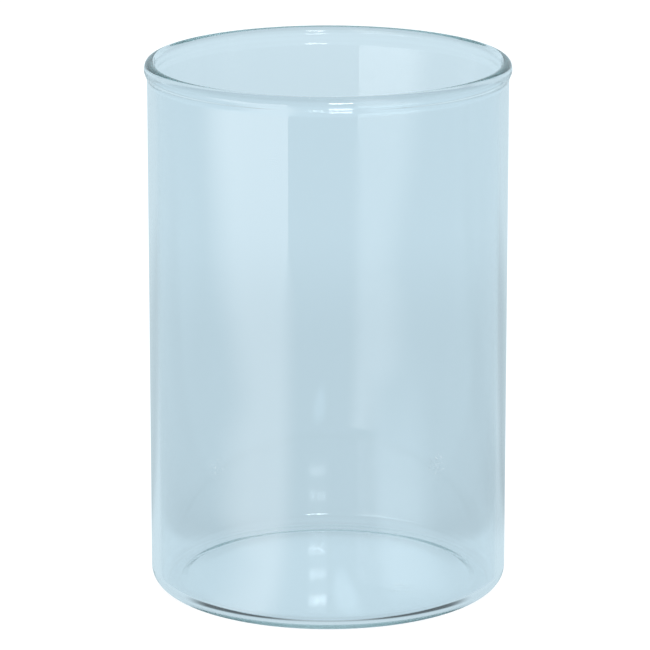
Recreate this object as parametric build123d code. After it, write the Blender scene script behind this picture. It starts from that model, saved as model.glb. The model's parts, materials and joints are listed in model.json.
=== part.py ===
"""Gas jar: a straight-sided jar of borosilicate glass, worked as one piece.

The whole jar is one turned section. A straight wall of even thickness stands on a thin base, a
rounded heel joins the two, and a fire-polished bead rolls outwards round the open mouth. The
underside is sunk a little inside a flat ring, which the jar stands on. The origin is the centre of
the base, at the level of the table, and +Z runs up the axis of the jar.
"""
import os
from math import sqrt

from build123d import *

# Driving dimensions, in millimetres
body_diameter = 100.0       # outside of the straight wall
overall_height = 150.0      # table to the crest of the bead
wall_thickness = 2.4        # straight wall
base_thickness = 2.1        # base, from the standing ring to the floor of the jar
standing_ring_width = 3.4   # flat ring under the base, inside the heel
sunk_depth = 0.2            # underside within the standing ring, above the table
sunk_edge_width = 1.8       # slope from the standing ring to the sunk underside
heel_radius = 4.8           # outside round between the base and the wall
inner_heel_radius = 3.0     # inside round between the floor and the wall
bead_stand_out = 0.85       # bead beyond the outside of the wall
bead_radius = 3.2           # full round on the outside of the bead
neck_radius = 5.0           # hollow round that leads from the wall out to the bead

# Shares
crest_share = 0.48          # round at the crest of the bead, of the bead's whole width

# The wall
outer_radius = body_diameter / 2
inner_radius = outer_radius - wall_thickness

# The underside, from the heel inwards
ring_outer = outer_radius - heel_radius
ring_inner = ring_outer - standing_ring_width
sunk_radius = ring_inner - sunk_edge_width

# The crest is a small round, flush with the bore
bead_width = wall_thickness + bead_stand_out
crest_radius = crest_share * bead_width
crest_centre = Vector(inner_radius + crest_radius, overall_height - crest_radius)
crest_to_bore = crest_centre - Vector(crest_radius, 0)

# The outside of the bead holds the crest's round and touches it, so its centre lies a little lower
bead_drop = sqrt((bead_width - 2 * crest_radius) * (2 * bead_radius - bead_width))
bead_centre = Vector(outer_radius + bead_stand_out - bead_radius, crest_centre.Y - bead_drop)
bead_to_crest = bead_centre + (crest_centre - bead_centre) * (bead_radius / (bead_radius - crest_radius))

# The neck touches the wall and the bead, so its centre lies beside both
neck_offset = outer_radius + neck_radius - bead_centre.X
neck_drop = sqrt((neck_radius + bead_radius) ** 2 - neck_offset**2)
neck_centre = bead_centre + Vector(neck_offset, -neck_drop)
neck_to_bead = bead_centre + (neck_centre - bead_centre) * (bead_radius / (bead_radius + neck_radius))


def outside_line():
    """From the axis under the base, round the heel, up the wall and over the bead to the bore."""
    sunk = Line((0, sunk_depth), (sunk_radius, sunk_depth))
    edge = Line(sunk @ 1, (ring_inner, 0))
    ring = Line(edge @ 1, (ring_outer, 0))
    heel = TangentArc(ring @ 1, (outer_radius, heel_radius), tangent=(1, 0))
    wall = Line(heel @ 1, (outer_radius, neck_centre.Y))
    neck = TangentArc(wall @ 1, neck_to_bead, tangent=(0, 1))
    bead = TangentArc(neck @ 1, bead_to_crest, tangent=neck % 1)
    crest = TangentArc(bead @ 1, crest_to_bore, tangent=bead % 1)
    return [sunk, edge, ring, heel, wall, neck, bead, crest]


def inside_line():
    """From the crest down the bore, round the inner heel, over the floor and down the axis."""
    bore = Line(crest_to_bore, (inner_radius, base_thickness + inner_heel_radius))
    heel = TangentArc(bore @ 1, (inner_radius - inner_heel_radius, base_thickness), tangent=(0, -1))
    floor = Line(heel @ 1, (0, base_thickness))
    axis = Line(floor @ 1, (0, sunk_depth))
    return [bore, heel, floor, axis]


def jar():
    """The section turned once round the axis."""
    section = make_face([*outside_line(), *inside_line()])
    return revolve(Plane.XZ * section, Axis.Z)


os.makedirs("parts", exist_ok=True)
export_step(jar(), "parts/jar.step")
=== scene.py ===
"""Gas jar: a straight-sided jar of pale blue borosilicate glass on a white table in a small studio."""
import json
import math

import bpy
from bpy.props import FloatProperty, FloatVectorProperty, IntProperty, PointerProperty
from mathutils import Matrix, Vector


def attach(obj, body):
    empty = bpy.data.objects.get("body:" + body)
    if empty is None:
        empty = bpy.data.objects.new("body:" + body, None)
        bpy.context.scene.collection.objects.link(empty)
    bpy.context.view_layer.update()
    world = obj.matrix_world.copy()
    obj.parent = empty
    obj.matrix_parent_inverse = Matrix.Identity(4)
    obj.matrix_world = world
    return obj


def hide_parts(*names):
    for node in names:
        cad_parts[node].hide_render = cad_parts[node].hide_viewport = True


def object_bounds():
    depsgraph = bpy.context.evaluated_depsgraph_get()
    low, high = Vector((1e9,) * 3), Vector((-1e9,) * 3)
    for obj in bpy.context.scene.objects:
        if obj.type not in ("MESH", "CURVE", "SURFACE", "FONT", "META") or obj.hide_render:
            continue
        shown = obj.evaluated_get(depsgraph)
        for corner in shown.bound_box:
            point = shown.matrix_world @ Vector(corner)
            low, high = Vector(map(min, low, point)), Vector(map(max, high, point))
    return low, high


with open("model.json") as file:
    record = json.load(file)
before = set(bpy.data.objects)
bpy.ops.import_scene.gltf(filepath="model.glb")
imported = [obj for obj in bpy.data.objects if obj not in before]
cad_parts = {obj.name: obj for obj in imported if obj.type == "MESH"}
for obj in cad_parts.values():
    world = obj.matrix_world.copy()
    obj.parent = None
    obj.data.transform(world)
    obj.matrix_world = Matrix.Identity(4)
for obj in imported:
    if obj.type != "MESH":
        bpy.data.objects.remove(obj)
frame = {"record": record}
cad_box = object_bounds()

bl_info = {
    "name": "Gas Jar",
    "version": (1, 0, 0),
    "blender": (4, 5, 0),
    "location": "View3D > Sidebar > Gas Jar",
    "description": "Makes a fire-polished glass gas jar and the small studio that it stands in",
    "category": "Object",
}

MM = 0.001
WHITE = (1.0, 1.0, 1.0, 1.0)

# Picture, sensor and far end of the camera's view
IMAGE_WIDTH_PX = 650
SENSOR_WIDTH_MM = 36.0
VIEW_END = 100.0

# Light runs a long way inside the wall and the bead before it leaves them
GLOSSY_BOUNCES = 256
TRANSMISSION_BOUNCES = 64

# Points of the turned form that are closer than this become one
MERGE_DISTANCE = 0.001 * MM

# Hairline rub marks: place and reach in millimetres, and lean from upright in degrees
RUB_MARKS = (
    (-30.5, -39.6, 44.0, 5.0, 40),
    (30.0, -40.0, 45.0, 5.0, -40),
    (20.2, -15.3, 2.1, 6.0, 90),
)
# Hairlines are a few hundredths of a millimetre wide, drawn 0.25 mm wide so that they show
HAIRLINE_WIDTH, HAIRLINE_LENGTH = 0.25 * MM, 5.0 * MM
# Spots that grit leaves on the standing ring, and nicks in the crest of the bead
GRIT_SPOT, NICK = 0.5 * MM, 0.4 * MM
# Heights between which the nicks set in
NICKS_FROM, NICKS_FULL = 149.2 * MM, 149.8 * MM
# Waves from drawing the wall, from crest to crest and up the jar
WAVE_ACROSS, WAVE_ALONG = 14.0 * MM, 250.0 * MM

# Half the side of the table, and its small drop below the standing ring, so that the two never share a plane
TABLE_HALF, TABLE_DROP = 6.0, 0.05 * MM
# Paper: grey of its matt part, and the share and the strength of the part that is lit evenly
PAPER_GREY, PAPER_LIT_SHARE, PAPER_LIT = 0.8, 0.65, 1.4
# Painted shade behind the jar: how fast it spreads with the distance behind the axis, and its half width there
FAN_SPREAD, FAN_HALF_WIDTH = 0.85, 0.012
# Painted sheen on the paper: its place and its half axes
SHEEN_PLACE, SHEEN_SIZE = (0.011, -0.083, 0.0), (0.011, 0.030, 1.0)

# Light card: outline as (radius, height), turned from one angle to another on the left of the front
CARD_OUTLINE = (
    (0.056, 0.0005), (0.16, 0.0005), (0.20, 0.004), (0.225, 0.015), (0.235, 0.035), (0.24, 0.08), (0.24, 0.115))
CARD_NEAR, CARD_FAR, CARD_STEPS = math.radians(15), math.radians(84), 24
# Angle at which the lit part of the card begins
CARD_LIT_FROM = math.radians(22.5)

# Soft box: distance in front of the axis, and west, east, low and high side as degrees seen from the origin
BOX_DISTANCE, BOX_SIDES = 3.0, (-1, 17, 6.5, 21)
# Slats of the strip above it: slope of the middle of a bright one, and spacing
SLAT_SLOPE, SLAT_SPACING = math.radians(16.75), math.radians(0.47)

# Front lamp
LAMP_WIDTH, LAMP_HEIGHT, LAMP_PLACE = 0.42, 0.26, (0.20, -1.42, 0.44)


def linear(hex_colour):
    """Linear red, green and blue of an sRGB colour written as #RRGGBB."""
    shares = [int(hex_colour[i:i + 2], 16) / 255 for i in (1, 3, 5)]
    return tuple(s / 12.92 if s <= 0.04045 else ((s + 0.055) / 1.055) ** 2.4 for s in shares)


def node(tree, kind, settings=None, values=None, links=None):
    """A new node with its settings, its socket values and the sockets that feed its inputs."""
    made = tree.nodes.new(kind)
    for name, value in (settings or {}).items():
        setattr(made, name, value)
    for name, value in (values or {}).items():
        made.inputs[name].default_value = value
    for name, source in (links or {}).items():
        tree.links.new(source, made.inputs[name])
    return made


def mouth_bore_radius():
    """Radius of the bore in metres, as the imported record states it."""
    for mount in frame["record"]["mounts"]:
        if mount["name"] == "mouth":
            return mount["dims"]["r_mm"] * MM
    raise RuntimeError("the packed record states no mouth")


class JarSizes(bpy.types.PropertyGroup):
    """Sizes of the jar's section."""

    height: FloatProperty(
        name="Height", description="Table to the crest of the bead", default=cad_box[1].z, unit="LENGTH")
    bead_outer_radius: FloatProperty(
        name="Bead reach", description="Axis to the outermost side of the bead", default=cad_box[1].x,
        unit="LENGTH")
    bore_radius: FloatProperty(
        name="Bore radius", description="Axis to the inside of the wall", default=mouth_bore_radius(),
        unit="LENGTH")
    wall: FloatProperty(
        name="Wall", description="Thickness of the straight wall", default=2.4 * MM, unit="LENGTH")
    base: FloatProperty(
        name="Base", description="Table to the floor of the jar", default=2.1 * MM, unit="LENGTH")
    standing_ring: FloatProperty(
        name="Standing ring", description="Width of the flat ring under the base", default=3.4 * MM,
        unit="LENGTH")
    sunk_depth: FloatProperty(
        name="Sunk depth", description="Table to the underside within the ring", default=0.2 * MM,
        unit="LENGTH")
    sunk_edge: FloatProperty(
        name="Sunk edge", description="Width of the slope from the ring to the sunk underside",
        default=1.8 * MM, unit="LENGTH")
    sunk_edge_round: FloatProperty(
        name="Sunk edge round", description="Round at the top and the foot of that slope", default=4.0 * MM,
        unit="LENGTH")
    heel_radius: FloatProperty(
        name="Heel", description="Outside round between base and wall", default=4.8 * MM, unit="LENGTH")
    inner_heel_radius: FloatProperty(
        name="Inner heel", description="Inside round between floor and wall", default=3.0 * MM, unit="LENGTH")
    neck_radius: FloatProperty(
        name="Neck", description="Hollow round from the wall out to the bead", default=5.0 * MM, unit="LENGTH")
    bead_radius: FloatProperty(
        name="Bead", description="Full round on the outside of the bead", default=3.2 * MM, unit="LENGTH")
    crest_radius: FloatProperty(
        name="Crest", description="Small round over the top of the bead", default=1.56 * MM, unit="LENGTH")
    holding_edge: FloatProperty(
        name="Holding edge", description="From a round to the edge that keeps the flat beside it flat",
        default=0.3 * MM, unit="LENGTH")
    arc_segments: IntProperty(
        name="Arc segments", description="Straight steps in each round of the section", default=24)
    turn_segments: IntProperty(
        name="Turn segments", description="Straight steps once round the jar", default=384)


class GlassFinish(bpy.types.PropertyGroup):
    """Look of the glass."""

    tint: FloatVectorProperty(
        name="Tint", description="Colour that one wall lets through", subtype="COLOR",
        default=linear("#F5F9FB"))
    depth_colour: FloatVectorProperty(
        name="Depth colour", description="Colour of the light that a long way through the glass leaves",
        subtype="COLOR", default=linear("#A0CCCC"))
    depth_density: FloatProperty(
        name="Depth density", description="How fast that colour builds up, for each metre of glass",
        default=4.0)
    ior: FloatProperty(name="IOR", description="Index of refraction of borosilicate glass", default=1.473)
    wave_height: FloatProperty(
        name="Wave height", description="Height of the faint waves left in the drawn wall",
        default=0.002 * MM, unit="LENGTH")
    ring_roughness: FloatProperty(
        name="Ring roughness", description="Where grit has rubbed the standing ring", default=0.18,
        subtype="FACTOR")
    rub_roughness: FloatProperty(
        name="Rub roughness", description="Inside hairline rub marks and nicks", default=0.35,
        subtype="FACTOR")
    rub_scatter: FloatProperty(
        name="Rub scatter", description="Share of the light that a rub mark scatters", default=0.3,
        subtype="FACTOR")


class StageSettings(bpy.types.PropertyGroup):
    """Camera and light."""

    lens: FloatProperty(name="Lens", description="Focal length in millimetres", default=249.0)
    elevation: FloatProperty(
        name="Elevation", description="Camera above the horizon", default=math.radians(14.85), subtype="ANGLE")
    distance: FloatProperty(
        name="Distance", description="Camera to the middle of the jar", default=1.260, unit="LENGTH")
    target_x_px: FloatProperty(
        name="Target X", description="Pixel column of the middle of the jar", default=328.1)
    target_y_px: FloatProperty(
        name="Target Y", description="Pixel row of the middle of the jar", default=322.4)
    paper: FloatVectorProperty(
        name="Paper", description="Pale blue that the table and the backdrop show to the glass",
        subtype="COLOR", default=linear("#D4E7F0"))
    card_high: FloatProperty(
        name="Card, high", description="Radiance of the light card above the jar's foot", default=3.7)
    card_low: FloatProperty(
        name="Card, low", description="Radiance of the light card near the table", default=2.8)
    lamp_radiance: FloatProperty(
        name="Lamp", description="Radiance of the soft box and of the front lamp", default=20.0)


def arc_corner(centre, radius, start, end):
    """Corner where the tangents at the two ends of an arc meet, with the arc's radius as its rounding."""
    reach = radius / math.cos((end - start) / 2)
    turn = (start + end) / 2
    return (centre[0] + reach * math.cos(turn), centre[1] + reach * math.sin(turn), radius)


def section_corners(sizes):
    """Corners of half the section as (radius, height, rounding), from the axis below to the axis inside."""
    outer = sizes.bore_radius + sizes.wall
    ring_inner = outer - sizes.heel_radius - sizes.standing_ring
    width = sizes.bead_outer_radius - sizes.bore_radius
    crest, bead, neck = sizes.crest_radius, sizes.bead_radius, sizes.neck_radius
    crest_at = (sizes.bore_radius + crest, sizes.height - crest)
    bead_drop = math.sqrt((width - 2 * crest) * (2 * bead - width))
    bead_at = (sizes.bead_outer_radius - bead, crest_at[1] - bead_drop)
    neck_offset = outer + neck - bead_at[0]
    neck_drop = math.sqrt((neck + bead) ** 2 - neck_offset**2)
    neck_at = (outer + neck, bead_at[1] - neck_drop)
    rise = math.asin(bead_drop / (bead - crest))
    lean = math.atan2(neck_drop, neck_offset)
    return [
        (0.0, sizes.sunk_depth, 0.0),
        (ring_inner - sizes.sunk_edge, sizes.sunk_depth, sizes.sunk_edge_round),
        (ring_inner, 0.0, sizes.sunk_edge_round),
        (outer, 0.0, sizes.heel_radius),
        arc_corner(neck_at, neck, math.pi, math.pi - lean),
        arc_corner(bead_at, bead, -lean, rise),
        arc_corner(crest_at, crest, rise, math.pi / 2),
        arc_corner(crest_at, crest, math.pi / 2, math.pi),
        (sizes.bore_radius, sizes.base, sizes.inner_heel_radius),
        (0.0, sizes.base, 0.0),
    ]


def held_corners(corners, hold):
    """The corners with a point just beyond each end of each round, so that the flats between shade flat."""
    places = [Vector(corner[:2]) for corner in corners]
    reaches = [0.0]
    for i in range(1, len(corners) - 1):
        turn = math.pi - (places[i - 1] - places[i]).angle(places[i + 1] - places[i])
        reaches.append(corners[i][2] * math.tan(turn / 2))
    reaches.append(0.0)
    held = []
    for i in range(len(corners) - 1):
        held.append(corners[i])
        run = places[i + 1] - places[i]
        start, end = reaches[i] + hold, run.length - reaches[i + 1] - hold
        if end - start > hold:
            ends = [s for s, reach in ((start, reaches[i]), (end, reaches[i + 1])) if reach > 0.0]
            held += [(*(places[i] + run.normalized() * s), 0.0) for s in ends]
    held.append(corners[-1])
    return held


def turned_form_tree():
    """Node group that rounds the corners of a half section and turns it once round the axis."""
    tree = bpy.data.node_groups.new("turned_form", "GeometryNodeTree")
    for name, kind in (
            ("Geometry", "Geometry"), ("Turning Radius", "Float"), ("Arc Segments", "Int"),
            ("Turn Segments", "Int"), ("Merge Distance", "Float"), ("Material", "Material")):
        tree.interface.new_socket(name, in_out="INPUT", socket_type="NodeSocket" + kind)
    tree.interface.new_socket("Geometry", in_out="OUTPUT", socket_type="NodeSocketGeometry")
    given = node(tree, "NodeGroupInput").outputs
    line = node(tree, "GeometryNodeMeshToCurve", links={"Mesh": given["Geometry"]})
    rounding = node(tree, "GeometryNodeInputNamedAttribute", {"data_type": "FLOAT"}, {"Name": "rounding"})
    rounded = node(
        tree, "GeometryNodeFilletCurve", {"mode": "POLY"}, {"Limit Radius": False},
        {"Curve": line.outputs[0], "Count": given["Arc Segments"], "Radius": rounding.outputs["Attribute"]})
    # The profile lies across the turning circle: X from the circle inwards, Y down
    place = node(tree, "GeometryNodeInputPosition")
    split = node(tree, "ShaderNodeSeparateXYZ", links={"Vector": place.outputs[0]})
    inward = node(
        tree, "ShaderNodeMath", {"operation": "SUBTRACT"},
        links={0: split.outputs["X"], 1: given["Turning Radius"]})
    down = node(tree, "ShaderNodeMath", {"operation": "MULTIPLY"}, {1: -1.0}, {0: split.outputs["Z"]})
    turned = node(
        tree, "ShaderNodeCombineXYZ", links={"X": inward.outputs[0], "Y": down.outputs[0]})
    profile = node(
        tree, "GeometryNodeSetPosition",
        links={"Geometry": rounded.outputs[0], "Position": turned.outputs[0]})
    circle = node(
        tree, "GeometryNodeCurvePrimitiveCircle", {"mode": "RADIUS"},
        links={"Resolution": given["Turn Segments"], "Radius": given["Turning Radius"]})
    swept = node(
        tree, "GeometryNodeCurveToMesh",
        links={"Curve": circle.outputs["Curve"], "Profile Curve": profile.outputs[0]})
    closed = node(
        tree, "GeometryNodeMergeByDistance",
        links={"Geometry": swept.outputs[0], "Distance": given["Merge Distance"]})
    outward = node(tree, "GeometryNodeFlipFaces", links={"Mesh": closed.outputs[0]})
    smooth = node(tree, "GeometryNodeSetShadeSmooth", links={"Geometry": outward.outputs[0]})
    real = node(tree, "GeometryNodeRealizeInstances", links={"Geometry": smooth.outputs[0]})
    dressed = node(
        tree, "GeometryNodeSetMaterial",
        links={"Geometry": real.outputs[0], "Material": given["Material"]})
    node(tree, "NodeGroupOutput", links={"Geometry": dressed.outputs[0]})
    return tree


def set_inputs(modifier, values):
    """Sets a modifier's inputs by the identifiers of the sockets with these names."""
    for item in modifier.node_group.interface.items_tree:
        if item.in_out == "INPUT" and item.name in values:
            modifier[item.identifier] = values[item.name]


def cleared(owner):
    """Empty node tree of a material or a world."""
    owner.use_nodes = True
    owner.node_tree.nodes.clear()
    return owner.node_tree


def place_on(tree, coordinates="Object"):
    """Place on a piece, or direction of a backdrop, as a vector and as its X, Y and Z."""
    place = node(tree, "ShaderNodeTexCoord").outputs[coordinates]
    return place, node(tree, "ShaderNodeSeparateXYZ", links={"Vector": place}).outputs


def axis_distance(tree, split):
    """Level distance from the axis of the jar."""
    flat = node(tree, "ShaderNodeCombineXYZ", links={"X": split["X"], "Y": split["Y"]}).outputs[0]
    return node(tree, "ShaderNodeVectorMath", {"operation": "LENGTH"}, links={0: flat}).outputs["Value"]


def turn_from_front(tree, split, side):
    """Angle round the axis from the front, which grows to the right for side 1 and to the left for side -1."""
    across = node(tree, "ShaderNodeMath", {"operation": "MULTIPLY"}, {1: side}, {0: split["X"]}).outputs[0]
    front = node(tree, "ShaderNodeMath", {"operation": "MULTIPLY"}, {1: -1.0}, {0: split["Y"]}).outputs[0]
    return node(tree, "ShaderNodeMath", {"operation": "ARCTAN2"}, links={0: across, 1: front}).outputs[0]


def seen_by_glass(tree, ray):
    """One for a ray that glass mirrors or lets through, and nought for any other."""
    return node(
        tree, "ShaderNodeMath", {"operation": "MAXIMUM"},
        links={0: ray["Is Glossy Ray"], 1: ray["Is Transmission Ray"]}).outputs[0]


def up_to(depth, count):
    """Soft step that keeps the rays with no more bounces than this."""
    return (depth, count + 0.2, count + 0.8, 1.0, 0.0)


def beyond(depth, count):
    """Soft step that keeps the rays with more bounces than this."""
    return (depth, count + 0.2, count + 0.8, 0.0, 1.0)


def angle_step(socket, start, end, before, after):
    """Soft step between two angles in degrees."""
    return (socket, math.radians(start), math.radians(end), before, after)


def soft_steps(tree, steps):
    """Product of smooth steps, each given as (socket, start, end, level before, level after)."""
    product = None
    for socket, start, end, before, after in steps:
        step = node(
            tree, "ShaderNodeMapRange", {"interpolation_type": "SMOOTHSTEP"},
            {"From Min": start, "From Max": end, "To Min": before, "To Max": after},
            {"Value": socket}).outputs[0]
        if product:
            step = node(
                tree, "ShaderNodeMath", {"operation": "MULTIPLY"}, links={0: product, 1: step}).outputs[0]
        product = step
    return product


def borosilicate_glass(finish):
    """Fire-polished borosilicate glass.

    Drawn and flame-polished glass is almost clear and quite smooth, so the eye sees what is behind it,
    bright bands where it mirrors the lights and dark lines where the bead and the heel bend the view. Long
    faint waves are left in its wall from drawing it. The ring that it stands on is rubbed to a fine matt, the
    crest of the bead has tiny nicks, and there are a few hairline rub marks on the wall and the floor.
    """
    material = bpy.data.materials.new("fire_polished_borosilicate_glass")
    tree = cleared(material)
    place, split = place_on(tree)
    radius = axis_distance(tree, split)

    def grain(across, along, turn=0.0):
        """Noise whose spots are this many metres across, and this many up the jar or along the turn."""
        spread = node(
            tree, "ShaderNodeMapping", {"vector_type": "TEXTURE"},
            {"Rotation": (0.0, turn, 0.0), "Scale": (across, across, along)}, {"Vector": place})
        return node(
            tree, "ShaderNodeTexNoise", values={"Scale": 1.0, "Detail": 2.0},
            links={"Vector": spread.outputs[0]}).outputs[0]

    marks = None
    for x, y, z, reach, lean in RUB_MARKS:
        hairlines = grain(HAIRLINE_WIDTH, HAIRLINE_LENGTH, math.radians(lean))
        apart = node(
            tree, "ShaderNodeVectorMath", {"operation": "DISTANCE"}, {1: (x * MM, y * MM, z * MM)},
            {0: place}).outputs["Value"]
        rubbed = soft_steps(tree, [
            (apart, 0.3 * reach * MM, reach * MM, 1.0, 0.0),
            (hairlines, 0.60, 0.66, 0.0, 1.0),
        ])
        marks = rubbed if marks is None else node(
            tree, "ShaderNodeMath", {"operation": "MAXIMUM"}, links={0: marks, 1: rubbed}).outputs[0]
    worn_ring = soft_steps(tree, [
        (split["Z"], 0.02 * MM, 0.06 * MM, 1.0, 0.0),
        (radius, 0.040, 0.042, 0.0, 1.0),
        (grain(GRIT_SPOT, GRIT_SPOT), 0.45, 0.60, 0.0, finish.ring_roughness),
    ])
    worn_crest = soft_steps(tree, [
        (split["Z"], NICKS_FROM, NICKS_FULL, 0.0, 1.0),
        (grain(NICK, NICK), 0.66, 0.70, 0.0, finish.rub_roughness),
    ])
    rough = node(
        tree, "ShaderNodeMath", {"operation": "MULTIPLY"}, {1: finish.rub_roughness}, {0: marks}).outputs[0]
    for wear in (worn_ring, worn_crest):
        rough = node(tree, "ShaderNodeMath", {"operation": "MAXIMUM"}, links={0: rough, 1: wear}).outputs[0]
    # Rub marks scatter a little white light
    clear = node(
        tree, "ShaderNodeMath", {"operation": "MULTIPLY_ADD"}, {1: -finish.rub_scatter, 2: 1.0},
        {0: marks}).outputs[0]
    # The waves run up the wall, not over the floor
    drawn = soft_steps(tree, [
        (split["Z"], 5.0 * MM, 15.0 * MM, 0.0, 1.0),
        (grain(WAVE_ACROSS, WAVE_ALONG), 0.0, 1.0, 0.0, 1.0),
    ])
    waves = node(
        tree, "ShaderNodeBump", values={"Strength": 1.0, "Distance": finish.wave_height},
        links={"Height": drawn})
    glass = node(
        tree, "ShaderNodeBsdfPrincipled",
        values={"Base Color": (*finish.tint, 1.0), "IOR": finish.ior},
        links={"Roughness": rough, "Transmission Weight": clear, "Normal": waves.outputs[0]})
    body = node(
        tree, "ShaderNodeVolumeAbsorption",
        values={"Color": (*finish.depth_colour, 1.0), "Density": finish.depth_density})
    node(tree, "ShaderNodeOutputMaterial", links={"Surface": glass.outputs[0], "Volume": body.outputs[0]})
    return material


class GASJAR_OT_make_jar(bpy.types.Operator):
    """Turn the jar from its section and give it its glass"""

    bl_idname = "gasjar.make_jar"
    bl_label = "Make Jar"

    def execute(self, context):
        sizes = context.scene.gas_jar_sizes
        corners = held_corners(section_corners(sizes), sizes.holding_edge)
        mesh = bpy.data.meshes.new("jar_section")
        mesh.from_pydata(
            [(corner[0], 0.0, corner[1]) for corner in corners],
            [(i, i + 1) for i in range(len(corners) - 1)], [])
        rounding = mesh.attributes.new("rounding", "FLOAT", "POINT")
        rounding.data.foreach_set("value", [corner[2] for corner in corners])
        jar = bpy.data.objects.new("glass_jar", mesh)
        context.scene.collection.objects.link(jar)
        turning = jar.modifiers.new("turning", "NODES")
        turning.node_group = turned_form_tree()
        set_inputs(turning, {
            "Turning Radius": sizes.bore_radius,
            "Arc Segments": sizes.arc_segments,
            "Turn Segments": sizes.turn_segments,
            "Merge Distance": MERGE_DISTANCE,
            "Material": borosilicate_glass(context.scene.gas_jar_finish),
        })
        solid = bpy.data.meshes.new_from_object(jar.evaluated_get(context.evaluated_depsgraph_get()))
        jar.modifiers.remove(turning)
        jar.data = solid
        bpy.data.meshes.remove(mesh)
        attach(jar, "root")
        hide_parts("jar")
        return {"FINISHED"}


def table_paper(stage):
    """Matt paper: white to the camera, and pale blue with painted shades and lights to the glass."""
    material = bpy.data.materials.new("table_paper")
    tree = cleared(material)
    ray = node(tree, "ShaderNodeLightPath").outputs
    place, split = place_on(tree)
    radius = node(tree, "ShaderNodeVectorMath", {"operation": "LENGTH"}, links={0: place}).outputs["Value"]
    aside = node(tree, "ShaderNodeMath", {"operation": "ABSOLUTE"}, links={0: split["X"]}).outputs[0]
    # Painted shadow: fine dark line on the paper where the heel turns up from the table, at the front
    crevice_shadow = soft_steps(tree, [
        (radius, 0.0462, 0.0474, 0.0, 1.0),
        (radius, 0.0488, 0.0505, 1.0, 0.0),
        (split["Y"], -0.034, -0.024, 1.0, 0.0),
        (aside, 0.004, 0.020, 0.35, 0.88),
        (ray["Transmission Depth"], 2.4, 3.4, 1.0, 0.0),
    ])
    # Painted soft shade on the paper under the heel, at the back
    painted_heel_shade = soft_steps(tree, [
        (radius, 0.0335, 0.0375, 0.0, 1.0),
        (radius, 0.0415, 0.0445, 1.0, 0.0),
        (split["Y"], 0.005, 0.020, 0.0, 0.13),
    ])
    # Painted soft shadow of the jar on the paper, which fans out behind it
    spread = node(
        tree, "ShaderNodeMath", {"operation": "MULTIPLY_ADD"}, {1: FAN_SPREAD, 2: FAN_HALF_WIDTH},
        {0: split["Y"]}).outputs[0]
    fan = node(tree, "ShaderNodeMath", {"operation": "DIVIDE"}, links={0: aside, 1: spread}).outputs[0]
    shade = soft_steps(tree, [
        (fan, 0.30, 0.80, 1.0, 1.65),
        (fan, 0.95, 1.20, 1.0, 0.0),
        (split["X"], 0.030, 0.120, 1.0, 1.35),
        (split["Y"], 0.020, 0.050, 0.0, 1.0),
        (split["Y"], 0.250, 0.430, 0.115, 0.015),
    ])
    # Painted soft shade on the paper, on the jar's right
    beside = soft_steps(tree, [
        (split["X"], 0.050, 0.080, 0.0, 1.0),
        (split["Y"], 0.020, 0.050, 0.0, 1.0),
        (split["Y"], 0.080, 0.140, 0.12, 0.0),
    ])
    # Painted light: brighter paper at the right, as if more lit, which the foot of the wall mirrors
    right = turn_from_front(tree, split, 1.0)
    painted_light_patch = soft_steps(tree, [
        angle_step(right, 22, 32, 0.0, 1.0),
        angle_step(right, 46, 66, 1.0, 0.0),
        (radius, 0.06, 0.09, 0.0, 1.0),
        (radius, 0.15, 0.40, -1.8, 0.0),
        beyond(ray["Glossy Depth"], 0),
        up_to(ray["Transmission Depth"], 0),
    ])
    # Painted sheen of the soft box on the paper in front of the jar, which the wall mirrors
    from_sheen = node(
        tree, "ShaderNodeVectorMath", {"operation": "SUBTRACT"}, {1: SHEEN_PLACE}, {0: place}).outputs[0]
    in_sheen = node(
        tree, "ShaderNodeVectorMath", {"operation": "DIVIDE"}, {1: SHEEN_SIZE}, {0: from_sheen}).outputs[0]
    sheen_reach = node(
        tree, "ShaderNodeVectorMath", {"operation": "LENGTH"}, links={0: in_sheen}).outputs["Value"]
    painted_sheen = soft_steps(tree, [(sheen_reach, 0.3, 1.0, -1.1, 0.0), beyond(ray["Glossy Depth"], 0)])
    # Painted light levels of the paper: a little darker under the base, and brighter beyond the heel and far
    # behind the jar. Each painted shade then takes its share of the light away, and a painted bright place has
    # a share below nought
    level = soft_steps(tree, [
        (radius, 0.020, 0.046, 0.97, 0.94),
        (radius, 0.046, 0.052, 1.0, 1.06),
        (split["Y"], 0.650, 0.950, 1.0, 1.06),
    ])
    for share in (crevice_shadow, painted_heel_shade, shade, beside, painted_light_patch, painted_sheen):
        left = node(tree, "ShaderNodeMath", {"operation": "SUBTRACT"}, {0: 1.0}, {1: share}).outputs[0]
        level = node(tree, "ShaderNodeMath", {"operation": "MULTIPLY"}, links={0: level, 1: left}).outputs[0]
    blue = node(tree, "ShaderNodeEmission", values={"Color": (*stage.paper, 1.0)}, links={"Strength": level})
    matt = node(
        tree, "ShaderNodeBsdfDiffuse", values={"Color": (PAPER_GREY, PAPER_GREY, PAPER_GREY, 1.0)})
    lit = node(tree, "ShaderNodeEmission", values={"Color": WHITE, "Strength": PAPER_LIT})
    white = node(
        tree, "ShaderNodeMixShader", values={0: PAPER_LIT_SHARE}, links={1: matt.outputs[0], 2: lit.outputs[0]})
    seen = node(
        tree, "ShaderNodeMixShader",
        links={0: seen_by_glass(tree, ray), 1: white.outputs[0], 2: blue.outputs[0]})
    node(tree, "ShaderNodeOutputMaterial", links={"Surface": seen.outputs[0]})
    return material


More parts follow.
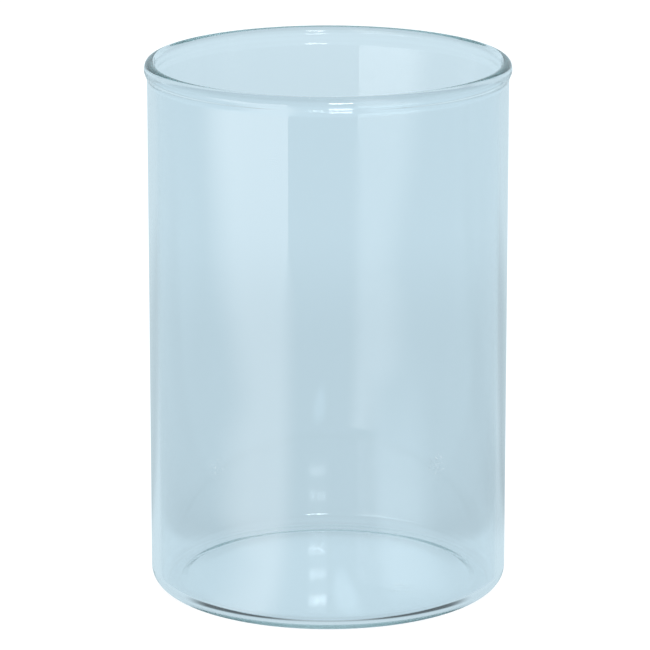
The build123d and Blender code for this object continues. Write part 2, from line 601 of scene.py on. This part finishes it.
def studio_backdrop(stage):
    """Backdrop: white to the camera, and pale blue to the glass, with darker and brighter parts round it."""
    world = bpy.data.worlds.new("studio")
    tree = cleared(world)
    ray = node(tree, "ShaderNodeLightPath").outputs
    split = place_on(tree, "Generated")[1]
    aside = node(tree, "ShaderNodeMath", {"operation": "ABSOLUTE"}, links={0: split["X"]}).outputs[0]
    level = soft_steps(tree, [
        (split["Z"], 0.12, 0.26, 1.05, 1.08),
        (split["Z"], 0.36, 0.52, 1.00, 0.52),
        (split["Z"], 0.58, 0.74, 1.00, 1.70),
        (split["Y"], -0.30, 0.10, 0.80, 1.00),
        (aside, 0.45, 0.85, 1.00, 0.60),
    ])
    colour = node(
        tree, "ShaderNodeMix", {"data_type": "RGBA"}, {6: (*stage.paper, 1.0), 7: WHITE},
        {0: ray["Is Camera Ray"]}).outputs[2]
    strength = node(
        tree, "ShaderNodeMix", {"data_type": "FLOAT"}, {2: 1.0},
        {0: seen_by_glass(tree, ray), 3: level}).outputs[0]
    back = node(tree, "ShaderNodeBackground", links={"Color": colour, "Strength": strength})
    node(tree, "ShaderNodeOutputWorld", links={"Surface": back.outputs[0]})
    return world


def light_card_glow(stage):
    """White card that only the glass mirrors, with a crisp near edge above and soft edges near the table."""
    material = bpy.data.materials.new("light_card")
    material.cycles.emission_sampling = "NONE"
    tree = cleared(material)
    ray = node(tree, "ShaderNodeLightPath").outputs
    place, split = place_on(tree)
    radius = node(tree, "ShaderNodeVectorMath", {"operation": "LENGTH"}, links={0: place}).outputs["Value"]
    turn = turn_from_front(tree, split, -1.0)
    # The card shows after 0 or 4 passes through the glass, not after 2, because the bead leads such light round
    passes = node(
        tree, "ShaderNodeMath", {"operation": "PINGPONG"}, {1: 2.0}, {0: ray["Transmission Depth"]}).outputs[0]
    mirrored = soft_steps(tree, [
        beyond(ray["Glossy Depth"], 0),
        up_to(passes, 0),
        up_to(ray["Transmission Depth"], 4),
    ])
    level = soft_steps(tree, [(split["Z"], 0.04, 0.10, stage.card_low, stage.card_high)])
    # The far edge comes nearer at the foot of the card and moves away at its head
    foot = soft_steps(tree, [
        (radius, 0.100, 0.150, math.radians(22), math.radians(8)),
        (radius, 0.200, 0.225, 1.0, 1.75),
        (split["Z"], 0.012, 0.060, 1.0, 0.0),
    ])
    head = soft_steps(tree, [(split["Z"], 0.050, 0.100, 0.0, math.radians(-6))])
    narrowed = turn
    for shift in (foot, head):
        narrowed = node(tree, "ShaderNodeMath", {"operation": "ADD"}, links={0: narrowed, 1: shift}).outputs[0]
    # The near edge is blurred at the foot
    blur = soft_steps(tree, [(split["Z"], 0.040, 0.065, math.radians(14), math.radians(0.6))])
    past = node(
        tree, "ShaderNodeMath", {"operation": "SUBTRACT"}, {1: CARD_LIT_FROM}, {0: turn}).outputs[0]
    edge = node(tree, "ShaderNodeMath", {"operation": "DIVIDE"}, links={0: past, 1: blur}).outputs[0]
    cover = soft_steps(tree, [(edge, -0.5, 0.5, 0.0, 1.0), angle_step(narrowed, 50, 80, 1.0, 0.0)])
    shown = node(tree, "ShaderNodeMath", {"operation": "MULTIPLY"}, links={0: cover, 1: mirrored}).outputs[0]
    glow = node(tree, "ShaderNodeEmission", values={"Color": WHITE}, links={"Strength": level})
    clear = node(tree, "ShaderNodeBsdfTransparent")
    seen = node(tree, "ShaderNodeMixShader", links={0: shown, 1: clear.outputs[0], 2: glow.outputs[0]})
    node(tree, "ShaderNodeOutputMaterial", links={"Surface": seen.outputs[0]})
    return material


def soft_box_glow(stage):
    """Soft box beside the camera, with a dim slatted strip above it, that the glass mirrors as highlights."""
    material = bpy.data.materials.new("soft_box")
    material.cycles.emission_sampling = "NONE"
    tree = cleared(material)
    bounces = node(tree, "ShaderNodeLightPath").outputs["Glossy Depth"]
    split = place_on(tree)[1]
    away = axis_distance(tree, split)
    slope = node(tree, "ShaderNodeMath", {"operation": "ARCTAN2"}, links={0: split["Z"], 1: away}).outputs[0]
    turn = turn_from_front(tree, split, 1.0)
    # The box shows in the first mirror, the strip in the second, and neither in any other
    mirrored = node(
        tree, "ShaderNodeMath", {"operation": "COMPARE"}, {1: 1.5, 2: 1.0}, {0: bounces}).outputs[0]
    box = soft_steps(tree, [
        up_to(bounces, 1),
        angle_step(slope, 7.0, 8.0, 0.0, stage.lamp_radiance),
        angle_step(slope, 14.6, 15.6, 1.0, 0.0),
        angle_step(turn, 0.0, 2.0, 0.0, 1.0),
        angle_step(turn, 14.0, 16.0, 1.0, 0.0),
    ])
    past = node(tree, "ShaderNodeMath", {"operation": "SUBTRACT"}, {1: SLAT_SLOPE}, {0: slope})
    wave = node(
        tree, "ShaderNodeMath", {"operation": "MULTIPLY"}, {1: math.tau / SLAT_SPACING}, {0: past.outputs[0]})
    slats = node(tree, "ShaderNodeMath", {"operation": "COSINE"}, links={0: wave.outputs[0]}).outputs[0]
    strip = soft_steps(tree, [
        beyond(bounces, 1),
        (slats, -0.2, 0.9, 1.0, 6.5),
        angle_step(slope, 16.4, 16.6, 0.0, 1.0),
        angle_step(slope, 17.3, 17.7, 0.6, 1.0),
        angle_step(slope, 18.8, 19.1, 1.0, 1.7),
        angle_step(slope, 19.3, 19.4, 1.0, 0.0),
        angle_step(turn, 0.0, 3.0, 0.0, 1.0),
        angle_step(turn, 11.5, 15.5, 1.0, 0.0),
    ])
    both = node(tree, "ShaderNodeMath", {"operation": "ADD"}, links={0: box, 1: strip}).outputs[0]
    shown = node(tree, "ShaderNodeMath", {"operation": "MULTIPLY"}, links={0: both, 1: mirrored}).outputs[0]
    glow = node(tree, "ShaderNodeEmission", values={"Color": WHITE}, links={"Strength": shown})
    clear = node(tree, "ShaderNodeBsdfTransparent")
    seen = node(tree, "ShaderNodeAddShader", links={0: clear.outputs[0], 1: glow.outputs[0]})
    node(tree, "ShaderNodeOutputMaterial", links={"Surface": seen.outputs[0]})
    return material


def stage_piece(name, points, faces, material):
    """A mesh that belongs to the stage and not to the jar."""
    mesh = bpy.data.meshes.new(name)
    mesh.from_pydata(points, [], faces)
    mesh.materials.append(material)
    piece = bpy.data.objects.new(name, mesh)
    bpy.context.scene.collection.objects.link(piece)
    return piece


def hide_from(piece, kinds):
    """Hides a piece of the stage from these kinds of rays."""
    for kind in kinds:
        setattr(piece, "visible_" + kind, False)


def card_mesh():
    """Points and faces of the light card, its outline turned in steps about the axis."""
    row = len(CARD_OUTLINE)
    points, faces = [], []
    for i in range(CARD_STEPS + 1):
        turn = CARD_NEAR + (CARD_FAR - CARD_NEAR) * i / CARD_STEPS
        points += [(-math.sin(turn) * r, -math.cos(turn) * r, z) for r, z in CARD_OUTLINE]
    for start in range(0, CARD_STEPS * row, row):
        faces += [(k, k + 1, k + row + 1, k + row) for k in range(start, start + row - 1)]
    return points, faces


def box_corners():
    """Corners of the soft box, which stands upright across the front."""
    west, east, low, high = (BOX_DISTANCE * math.tan(math.radians(side)) for side in BOX_SIDES)
    return [(x, -BOX_DISTANCE, z) for x, z in ((west, low), (east, low), (east, high), (west, high))]


def front_lamp(stage):
    """Lamp beside the camera that lights the matt parts of the stage and the rub marks."""
    lamp = bpy.data.lights.new("front_lamp", "AREA")
    lamp.shape = "RECTANGLE"
    lamp.size, lamp.size_y = LAMP_WIDTH, LAMP_HEIGHT
    lamp.energy = stage.lamp_radiance * math.pi * lamp.size * lamp.size_y
    beside = bpy.data.objects.new("front_lamp", lamp)
    beside.location = LAMP_PLACE
    beside.rotation_euler = (-beside.location).to_track_quat("-Z", "Y").to_euler()
    hide_from(beside, ("camera", "glossy", "transmission"))
    return beside


def jar_camera(stage, height):
    """Camera that looks a little down on the middle of the jar."""
    camera = bpy.data.cameras.new("camera")
    camera.lens = stage.lens
    camera.sensor_width = SENSOR_WIDTH_MM
    camera.shift_x = (IMAGE_WIDTH_PX / 2 - stage.target_x_px) / IMAGE_WIDTH_PX
    camera.shift_y = (stage.target_y_px - IMAGE_WIDTH_PX / 2) / IMAGE_WIDTH_PX
    camera.clip_end = VIEW_END
    eye = bpy.data.objects.new("camera", camera)
    away = Vector((0.0, -math.cos(stage.elevation), math.sin(stage.elevation)))
    eye.location = Vector((0.0, 0.0, height / 2)) + away * stage.distance
    eye.rotation_euler = (math.pi / 2 - stage.elevation, 0.0, 0.0)
    return eye


class GASJAR_OT_make_stage(bpy.types.Operator):
    """Lay the white table, set the lights and place the camera"""

    bl_idname = "gasjar.make_stage"
    bl_label = "Make Stage"

    def execute(self, context):
        scene, stage = context.scene, context.scene.gas_jar_stage
        scene.view_settings.view_transform = "Standard"
        scene.cycles.max_bounces = GLOSSY_BOUNCES
        scene.cycles.glossy_bounces = GLOSSY_BOUNCES
        scene.cycles.transmission_bounces = TRANSMISSION_BOUNCES
        scene.world = studio_backdrop(stage)

        corners = [
            (x * TABLE_HALF, y * TABLE_HALF, -TABLE_DROP) for x, y in ((-1, -1), (1, -1), (1, 1), (-1, 1))]
        stage_piece("table", corners, [(0, 1, 2, 3)], table_paper(stage))
        card = stage_piece("light_card", *card_mesh(), light_card_glow(stage))
        box = stage_piece("soft_box", box_corners(), [(0, 1, 2, 3)], soft_box_glow(stage))
        for light in (card, box):
            hide_from(light, ("camera", "diffuse", "shadow", "volume_scatter"))

        scene.collection.objects.link(front_lamp(stage))
        eye = jar_camera(stage, scene.gas_jar_sizes.height)
        scene.collection.objects.link(eye)
        scene.camera = eye
        return {"FINISHED"}


class GASJAR_PT_panel(bpy.types.Panel):
    """The steps that make the jar and its stage"""

    bl_idname = "GASJAR_PT_panel"
    bl_label = "Gas Jar"
    bl_space_type = "VIEW_3D"
    bl_region_type = "UI"
    bl_category = "Gas Jar"

    def draw(self, context):
        self.layout.operator(GASJAR_OT_make_jar.bl_idname)
        self.layout.operator(GASJAR_OT_make_stage.bl_idname)


CLASSES = (JarSizes, GlassFinish, StageSettings, GASJAR_OT_make_jar, GASJAR_OT_make_stage, GASJAR_PT_panel)


def register():
    """Registers the classes and gives the scene its settings."""
    for cls in CLASSES:
        bpy.utils.register_class(cls)
    bpy.types.Scene.gas_jar_sizes = PointerProperty(type=JarSizes)
    bpy.types.Scene.gas_jar_finish = PointerProperty(type=GlassFinish)
    bpy.types.Scene.gas_jar_stage = PointerProperty(type=StageSettings)


def unregister():
    """Takes the settings and the classes away again."""
    del bpy.types.Scene.gas_jar_stage
    del bpy.types.Scene.gas_jar_finish
    del bpy.types.Scene.gas_jar_sizes
    for cls in reversed(CLASSES):
        bpy.utils.unregister_class(cls)


def main():
    """Makes the jar and its stage."""
    register()
    bpy.ops.gasjar.make_jar()
    bpy.ops.gasjar.make_stage()


if __name__ == "__main__":
    main()
